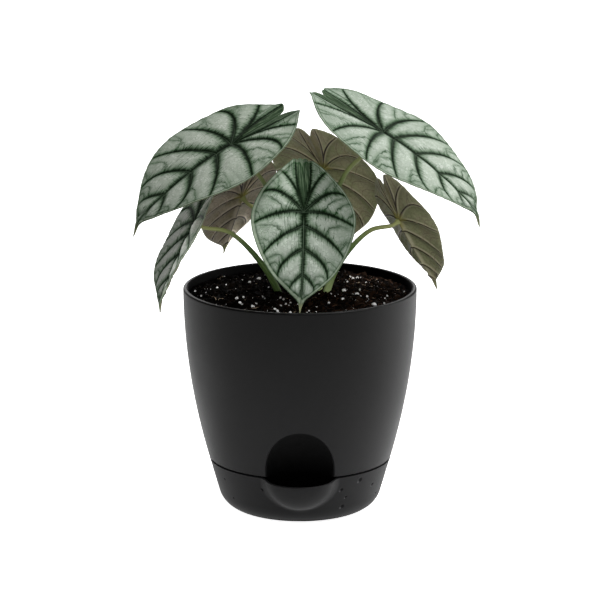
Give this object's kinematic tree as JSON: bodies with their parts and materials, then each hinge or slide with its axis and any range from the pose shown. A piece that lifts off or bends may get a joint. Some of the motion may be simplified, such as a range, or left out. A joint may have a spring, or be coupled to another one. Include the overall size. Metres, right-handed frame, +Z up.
{
  "type": "potted silver dragon alocasia",
  "caption": "Small potted aroid with shield-shaped silver leaves and dark sunken veins, in a tapered matte black self-watering pot with a front fill mouth on its water tray",
  "frame": {"origin": "on the surface that the water tray stands on, at the axis of the pot", "axes": "+Z up along the pot's axis, -Y towards the fill mouth and the viewer, +X to the viewer's right"},
  "size_m": [0.2252, 0.155, 0.2808],
  "materials": {
    "pot_plastic": "fine matte black",
    "tray_plastic": "matte black with small nicks",
    "potting_mix": "dark fibrous mix with white perlite",
    "leaf": "satin silver green with dark sunken veins, olive brown beneath",
    "stalk": "smooth olive green"
  },
  "bodies": {
    "root": {"water_tray": "tray_plastic", "pot": "pot_plastic", "soil": "potting_mix", "stalk_left_top": "stalk", "leaf_left_top": "leaf", "stalk_right_top": "stalk", "leaf_right_top": "leaf", "stalk_front": "stalk", "leaf_front": "leaf", "stalk_left_low": "stalk", "leaf_left_low": "leaf", "stalk_back_left": "stalk", "leaf_back_left": "leaf", "stalk_back": "stalk", "leaf_back": "leaf", "stalk_right_low": "stalk", "leaf_right_low": "leaf"}
  },
  "joints": []
}
